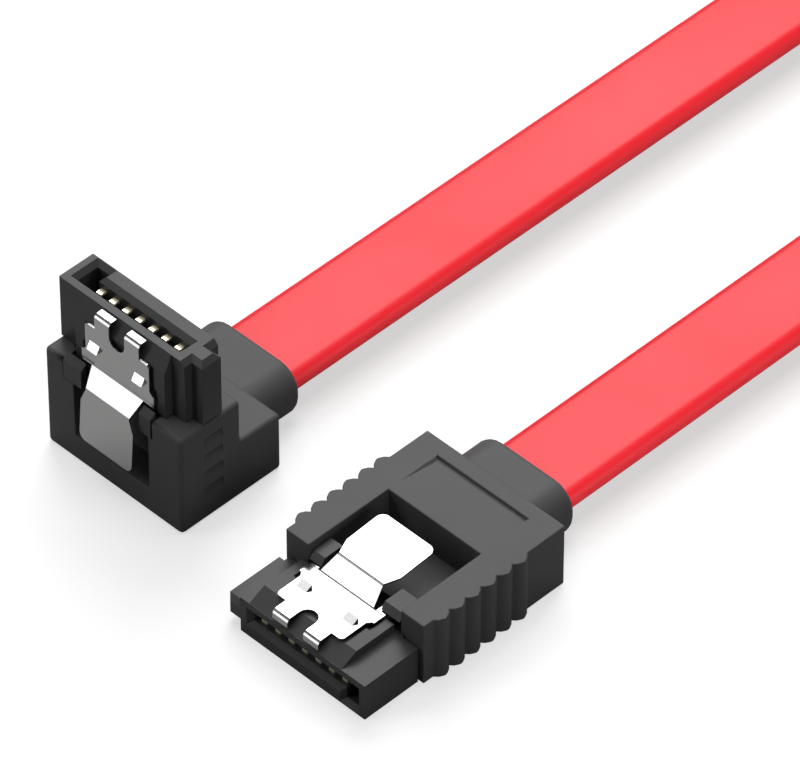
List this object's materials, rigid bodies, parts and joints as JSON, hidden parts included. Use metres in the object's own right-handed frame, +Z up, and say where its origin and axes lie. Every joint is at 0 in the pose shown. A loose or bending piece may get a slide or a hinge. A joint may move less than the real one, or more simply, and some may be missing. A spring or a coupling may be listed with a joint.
{
  "type": "latching flat data cable",
  "caption": "Flat red data cable with a straight and a right-angle plug, each keyed and with a sprung metal latch.",
  "frame": {"origin": "middle of the two plugs' outline seen from above, on the surface that they lie on", "axes": "+X across the plugs, from the right-angle one to the straight one; +Y along the leads, away from the plugs; +Z up"},
  "size_m": [0.0478, 0.2312, 0.0143],
  "materials": {
    "body_plastic": "satin moulded black",
    "insulator_plastic": "satin black",
    "latch_steel": "bright spring steel",
    "contact_gold": "gold plated",
    "cable_jacket": "glossy red jacket",
    "tie_fabric": "black strap"
  },
  "bodies": {
    "root": {"straight_overmold": "body_plastic", "straight_insulator": "insulator_plastic", "straight_contact_1": "contact_gold", "straight_contact_2": "contact_gold", "straight_contact_3": "contact_gold", "straight_contact_4": "contact_gold", "straight_contact_5": "contact_gold", "straight_contact_6": "contact_gold", "straight_contact_7": "contact_gold", "angle_overmold": "body_plastic", "angle_insulator": "insulator_plastic", "angle_contact_1": "contact_gold", "angle_contact_2": "contact_gold", "angle_contact_3": "contact_gold", "angle_contact_4": "contact_gold", "angle_contact_5": "contact_gold", "angle_contact_6": "contact_gold", "angle_contact_7": "contact_gold", "cable": "cable_jacket", "cable_tie": "tie_fabric"},
    "straight_latch": {"straight_latch": "latch_steel"},
    "angle_latch": {"angle_latch": "latch_steel"}
  },
  "joints": [
    {"name": "straight_latch_press", "type": "hinge", "parent": "root", "child": "straight_latch", "pos_m": [0.01009, -0.01057, 0.0035], "axis": [-1, 0, 0], "range_deg": [0, 5], "stiffness_Nm_per_rad": 0.005},
    {"name": "angle_latch_press", "type": "hinge", "parent": "root", "child": "angle_latch", "pos_m": [-0.01088, -0.00629, 0.01404], "axis": [1, 0, 0], "range_deg": [0, 5], "stiffness_Nm_per_rad": 0.005}
  ]
}
